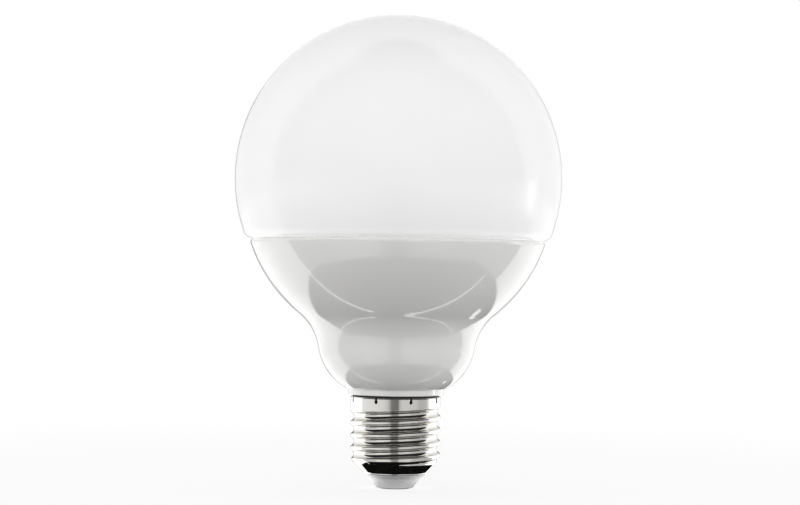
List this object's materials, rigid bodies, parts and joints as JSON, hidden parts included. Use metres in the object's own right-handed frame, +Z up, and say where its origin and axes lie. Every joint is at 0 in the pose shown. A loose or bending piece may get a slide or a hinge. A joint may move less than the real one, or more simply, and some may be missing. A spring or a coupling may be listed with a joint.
{
  "type": "globe bulb",
  "caption": "Globe bulb with an opal dome, a white stepped housing and a screw cap with a rolled thread.",
  "frame": {"origin": "centre of the underside of the centre contact, the lowest point of the cap", "axes": "+Z up along the bulb's axis, from the cap to the top of the globe; the view in the picture is along +Y"},
  "size_m": [0.095, 0.095, 0.1373],
  "materials": {
    "opal_diffuser": "gloss",
    "white_housing": "gloss",
    "nickel_shell": "polished",
    "grey_insulator": "matte",
    "nickel_contact": "satin"
  },
  "bodies": {
    "root": {"diffuser_dome": "opal_diffuser", "lower_housing": "white_housing", "screw_shell": "nickel_shell", "insulator": "grey_insulator", "centre_contact": "nickel_contact"}
  },
  "joints": []
}
